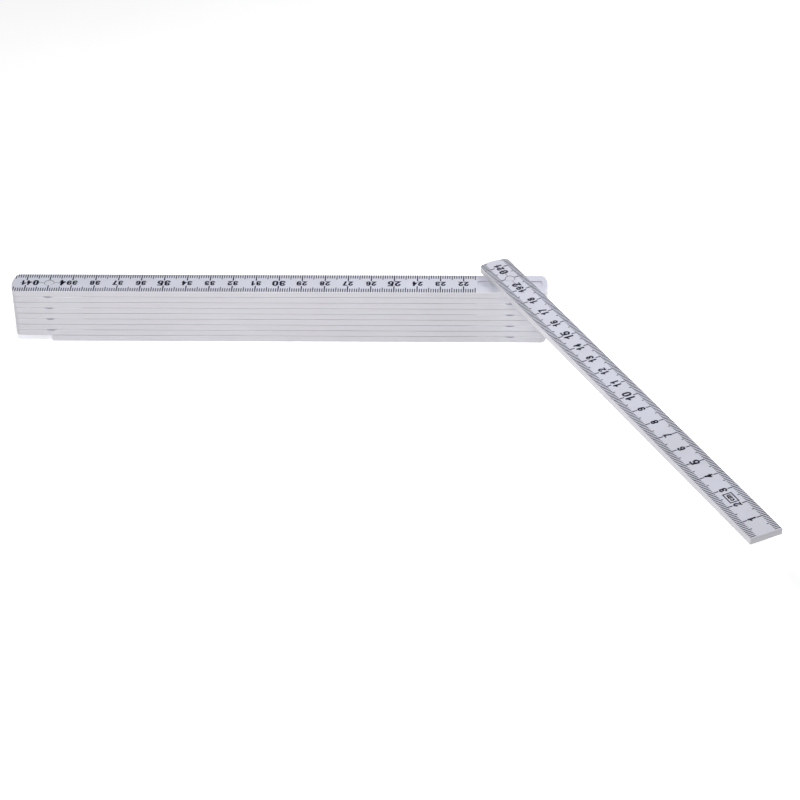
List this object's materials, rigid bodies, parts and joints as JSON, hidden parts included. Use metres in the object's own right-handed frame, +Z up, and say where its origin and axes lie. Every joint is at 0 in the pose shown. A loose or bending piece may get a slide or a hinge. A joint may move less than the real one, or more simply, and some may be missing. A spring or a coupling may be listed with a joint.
{
  "type": "folding rule",
  "caption": "White plastic two-metre folding rule with printed centimetre scale, folded in a stack with its first leg swung out on a click joint.",
  "frame": {"origin": "on the underside of the lowest leg, on its centre line, halfway between the two rows of pivots", "axes": "+X along the folded stack towards the odd joints, +Z up through the stack, +Y across the legs, away from the swung-out leg"},
  "size_m": [0.3164, 0.1961, 0.0283],
  "materials": {
    "leg_plastic": "satin",
    "pin_plastic": "satin",
    "spring_steel": "brushed",
    "scale_ink": "matte"
  },
  "bodies": {
    "section_01": {"leg_01": "leg_plastic", "pivot_pin_1": "pin_plastic", "detent_spring_1": "spring_steel", "lock_ring_1": "spring_steel"},
    "section_02": {"leg_02": "leg_plastic", "pivot_pin_2": "pin_plastic", "detent_spring_2": "spring_steel", "lock_ring_2": "spring_steel"},
    "section_03": {"leg_03": "leg_plastic", "pivot_pin_3": "pin_plastic", "detent_spring_3": "spring_steel", "lock_ring_3": "spring_steel"},
    "section_04": {"leg_04": "leg_plastic", "pivot_pin_4": "pin_plastic", "detent_spring_4": "spring_steel", "lock_ring_4": "spring_steel"},
    "section_05": {"leg_05": "leg_plastic", "pivot_pin_5": "pin_plastic", "detent_spring_5": "spring_steel", "lock_ring_5": "spring_steel"},
    "section_06": {"leg_06": "leg_plastic", "pivot_pin_6": "pin_plastic", "detent_spring_6": "spring_steel", "lock_ring_6": "spring_steel"},
    "section_07": {"leg_07": "leg_plastic", "pivot_pin_7": "pin_plastic", "detent_spring_7": "spring_steel", "lock_ring_7": "spring_steel"},
    "section_08": {"leg_08": "leg_plastic", "pivot_pin_8": "pin_plastic", "detent_spring_8": "spring_steel", "lock_ring_8": "spring_steel"},
    "section_09": {"leg_09": "leg_plastic", "pivot_pin_9": "pin_plastic", "detent_spring_9": "spring_steel", "lock_ring_9": "spring_steel"},
    "section_10": {"leg_10": "leg_plastic"}
  },
  "joints": [
    {"name": "hinge_9", "type": "hinge", "parent": "section_10", "child": "section_09", "pos_m": [0.1, 0, 0.00281], "axis": [0, 0, 1], "range_deg": [-180, 180]},
    {"name": "hinge_8", "type": "hinge", "parent": "section_09", "child": "section_08", "pos_m": [-0.1, 0, 0.00565], "axis": [0, 0, 1], "range_deg": [-180, 180]},
    {"name": "hinge_7", "type": "hinge", "parent": "section_08", "child": "section_07", "pos_m": [0.1, 0, 0.00849], "axis": [0, 0, 1], "range_deg": [-180, 180]},
    {"name": "hinge_6", "type": "hinge", "parent": "section_07", "child": "section_06", "pos_m": [-0.1, 0, 0.01133], "axis": [0, 0, 1], "range_deg": [-180, 180]},
    {"name": "hinge_5", "type": "hinge", "parent": "section_06", "child": "section_05", "pos_m": [0.1, 0, 0.01417], "axis": [0, 0, 1], "range_deg": [-180, 180]},
    {"name": "hinge_4", "type": "hinge", "parent": "section_05", "child": "section_04", "pos_m": [-0.1, 0, 0.01701], "axis": [0, 0, 1], "range_deg": [-180, 180]},
    {"name": "hinge_3", "type": "hinge", "parent": "section_04", "child": "section_03", "pos_m": [0.1, 0, 0.01985], "axis": [0, 0, 1], "range_deg": [-180, 180]},
    {"name": "hinge_2", "type": "hinge", "parent": "section_03", "child": "section_02", "pos_m": [-0.1, 0, 0.02269], "axis": [0, 0, 1], "range_deg": [-180, 180]},
    {"name": "hinge_1", "type": "hinge", "parent": "section_02", "child": "section_01", "pos_m": [0.1, 0, 0.02553], "axis": [0, 0, 1], "range_deg": [-298, 62]}
  ]
}
